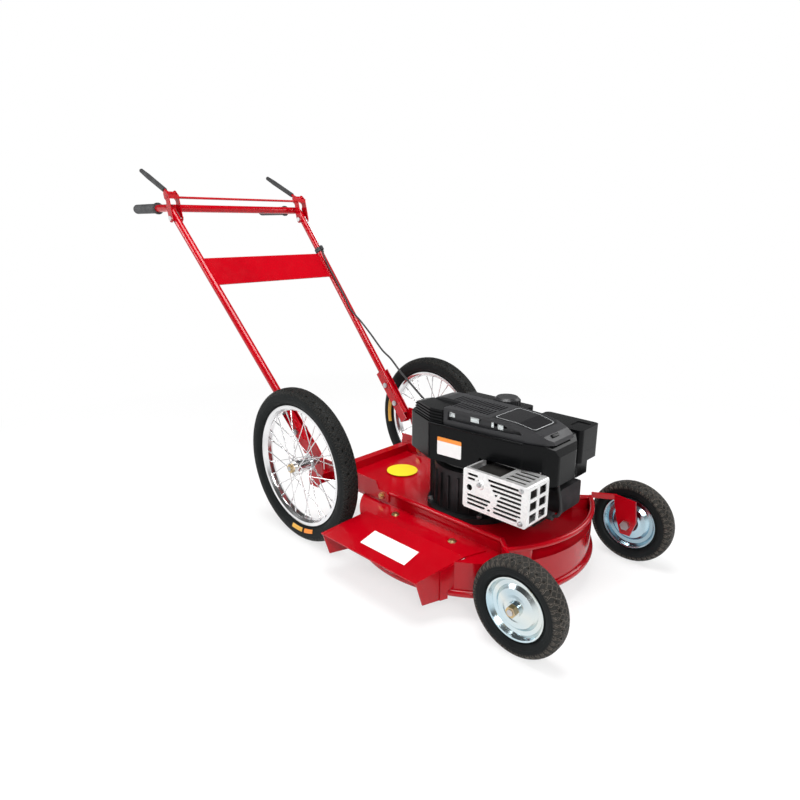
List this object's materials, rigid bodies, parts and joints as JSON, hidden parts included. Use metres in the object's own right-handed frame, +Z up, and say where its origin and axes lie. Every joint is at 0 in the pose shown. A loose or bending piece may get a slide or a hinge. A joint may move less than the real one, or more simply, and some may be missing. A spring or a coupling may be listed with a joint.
{
  "type": "push lawn mower",
  "caption": "Push mower with tall spoked rear wheels, small front wheels, round steel deck with side chute, vertical-shaft engine and tube handle with hand bail.",
  "frame": {"origin": "on the ground, midway between the mower's front and back ends and between its sides", "axes": "+X forward, +Y to the operator's left, +Z up"},
  "size_m": [1.6188, 0.623, 0.9628],
  "materials": {
    "red_paint": "gloss",
    "tyre_rubber": "matte",
    "bright_steel": "polished",
    "plated_disc": "bright zinc",
    "plain_steel": "satin",
    "yellow_zinc": "satin",
    "black_gloss": "gloss",
    "dark_plastic": "satin",
    "grip_rubber": "matte",
    "sleeve_rubber": "matte",
    "cast_aluminium": "cast",
    "guard_aluminium": "bright",
    "cast_iron": "cast",
    "filter_paper": "matte",
    "cable_black": "satin"
  },
  "bodies": {
    "chassis": {"deck_shell": "red_paint", "rear_frame": "red_paint", "discharge_chute": "red_paint", "deck_bolts": "plain_steel", "front_arms": "red_paint", "front_axles": "plain_steel", "rear_axles": "plain_steel", "axle_nuts": "yellow_zinc", "handle_bolts": "plain_steel", "handle_tube_right": "red_paint", "handle_tube_left": "red_paint", "handle_crossbar": "red_paint", "handle_plate": "red_paint", "handle_grips": "grip_rubber", "bail_pivots": "bright_steel", "cable_anchor": "cable_black", "cable_wire": "plain_steel", "cable_jacket": "cable_black", "crankcase": "cast_aluminium", "engine_bolts": "plain_steel", "cylinder": "cast_aluminium", "cylinder_head": "cast_aluminium", "spark_plug": "plain_steel", "plug_lead": "cable_black", "muffler": "plain_steel", "muffler_guard": "guard_aluminium", "carburettor": "cast_aluminium", "air_filter_base": "black_gloss", "air_filter_element": "filter_paper", "fuel_tank": "black_gloss", "blower_housing": "black_gloss", "top_cover": "dark_plastic", "starter_cup": "dark_plastic", "oil_tube": "dark_plastic"},
    "hand_bail": {"bail": "red_paint", "bail_sleeves": "sleeve_rubber"},
    "filter_lid": {"air_filter_cover": "black_gloss"},
    "tank_cap": {"fuel_cap": "dark_plastic"},
    "starter_pull": {"starter_grip": "dark_plastic"},
    "oil_cap": {"dipstick": "dark_plastic"},
    "brake_arm": {"brake_lever": "plain_steel"},
    "rotor": {"crankshaft": "plain_steel", "flywheel": "cast_iron", "blade_adapter": "cast_iron", "blade": "plain_steel", "blade_bolt": "plain_steel"},
    "rear_wheel_right": {"rear_tyre_right": "tyre_rubber", "rear_rim_right": "bright_steel", "rear_spokes_right": "bright_steel", "rear_hub_right": "bright_steel"},
    "front_wheel_right": {"front_tyre_right": "tyre_rubber", "front_disc_right": "plated_disc"},
    "rear_wheel_left": {"rear_tyre_left": "tyre_rubber", "rear_rim_left": "bright_steel", "rear_spokes_left": "bright_steel", "rear_hub_left": "bright_steel"},
    "front_wheel_left": {"front_tyre_left": "tyre_rubber", "front_disc_left": "plated_disc"}
  },
  "joints": [
    {"name": "rear_wheel_right_spin", "type": "hinge", "parent": "chassis", "child": "rear_wheel_right", "pos_m": [0.04811, -0.23455, 0.202], "axis": [0, 1, 0], "continuous": true},
    {"name": "front_wheel_right_spin", "type": "hinge", "parent": "chassis", "child": "front_wheel_right", "pos_m": [0.70689, -0.22455, 0.1], "axis": [0, 1, 0], "continuous": true},
    {"name": "rear_wheel_left_spin", "type": "hinge", "parent": "chassis", "child": "rear_wheel_left", "pos_m": [0.04811, 0.27145, 0.202], "axis": [0, 1, 0], "continuous": true},
    {"name": "front_wheel_left_spin", "type": "hinge", "parent": "chassis", "child": "front_wheel_left", "pos_m": [0.70689, 0.26145, 0.1], "axis": [0, 1, 0], "continuous": true},
    {"name": "bail_squeeze", "type": "hinge", "parent": "chassis", "child": "hand_bail", "pos_m": [-0.55209, 0.01845, 0.81195], "axis": [0, -1, 0], "range_deg": [0, 20], "stiffness_Nm_per_rad": 8, "springref_deg": -20.05},
    {"name": "blade_spin", "type": "hinge", "parent": "chassis", "child": "rotor", "pos_m": [0.40794, 0.01845, 0.088], "axis": [0, 0, 1], "continuous": true},
    {"name": "brake_turn", "type": "hinge", "parent": "chassis", "child": "brake_arm", "pos_m": [0.26094, -0.00155, 0.318], "axis": [1, 0, 0], "range_deg": [0, 20]},
    {"name": "starter_pull_slide", "type": "slide", "parent": "chassis", "child": "starter_pull", "axis": [-1, 0, 0], "range_m": [0, 0.5], "stiffness_N_per_m": 15, "springref_m": -0.5},
    {"name": "fuel_cap_turn", "type": "hinge", "parent": "chassis", "child": "tank_cap", "pos_m": [0.45194, 0.07845, 0.386], "axis": [0, 0, 1], "range_deg": [0, 90]},
    {"name": "dipstick_turn", "type": "hinge", "parent": "chassis", "child": "oil_cap", "pos_m": [0.39294, 0.15245, 0.278], "axis": [0, 0.3208, 0.9471], "range_deg": [0, 90]},
    {"name": "filter_lid_open", "type": "hinge", "parent": "chassis", "child": "filter_lid", "pos_m": [0.58194, 0.16605, 0.3091], "axis": [-1, 0, 0], "range_deg": [0, 80]}
  ],
  "couplings": [
    {"joint": "brake_turn", "follows": "bail_squeeze", "ratio": 1}
  ]
}
